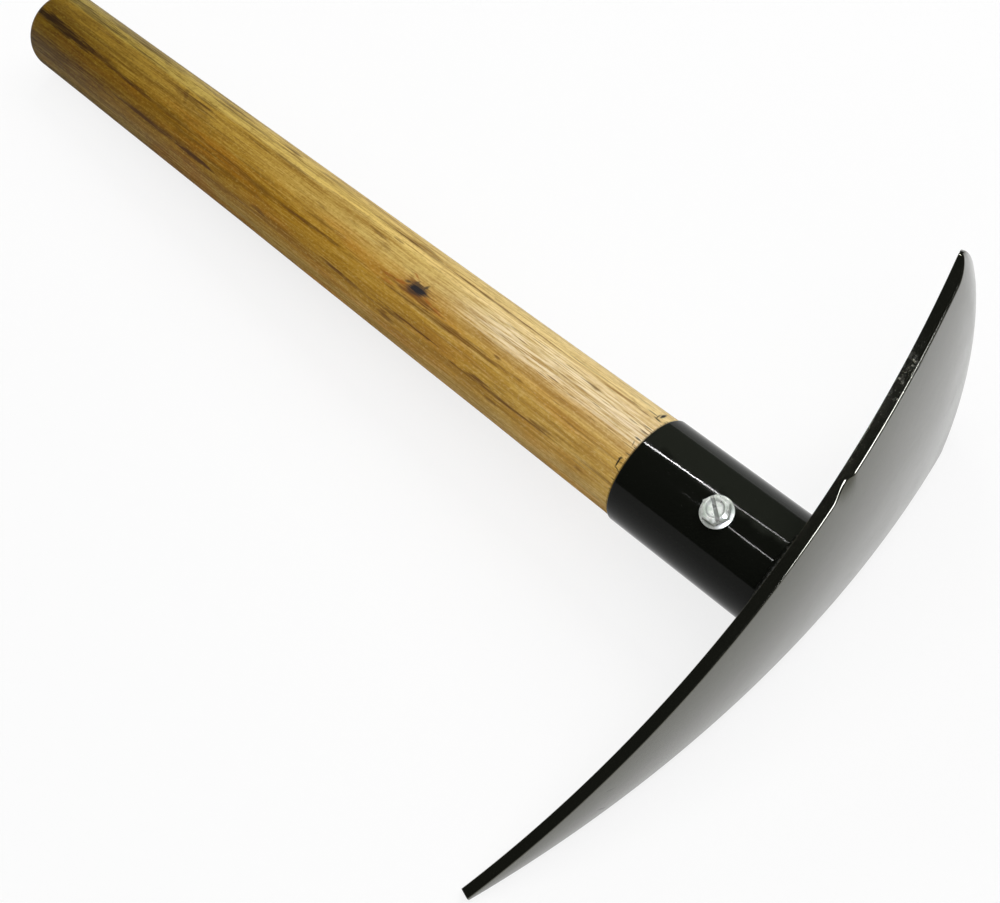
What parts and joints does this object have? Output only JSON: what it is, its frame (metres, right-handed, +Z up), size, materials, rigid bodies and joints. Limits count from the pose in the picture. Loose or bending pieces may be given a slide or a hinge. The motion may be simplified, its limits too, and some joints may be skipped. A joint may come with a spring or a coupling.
{
  "type": "prospecting pick",
  "caption": "One-hand digging pick: curved steel blade with a narrow point and a wide rounded hoe, welded socket tube, turned wooden handle held by a hex screw.",
  "frame": {"origin": "middle of the tool's bounding box, on the floor that the tool lies on", "axes": "+Z up from the floor; +X along the handle, from the blade to the butt, seen from above; +Y towards the point arm, so the hoe arm is on -Y"},
  "size_m": [0.3942, 0.2322, 0.1105],
  "materials": {
    "blade_paint": "black paint, satin on the faces and glossy on the cut edge",
    "socket_paint": "gloss black paint",
    "weld_paint": "gloss black paint over a rippled fillet weld",
    "handle_wood": "golden wood with dark streaks and one knot, satin varnish",
    "zinc_steel": "bright zinc plating"
  },
  "bodies": {
    "root": {"blade": "blade_paint", "socket_tube": "socket_paint", "weld_bead": "weld_paint", "handle": "handle_wood", "socket_screw": "zinc_steel"}
  },
  "joints": []
}
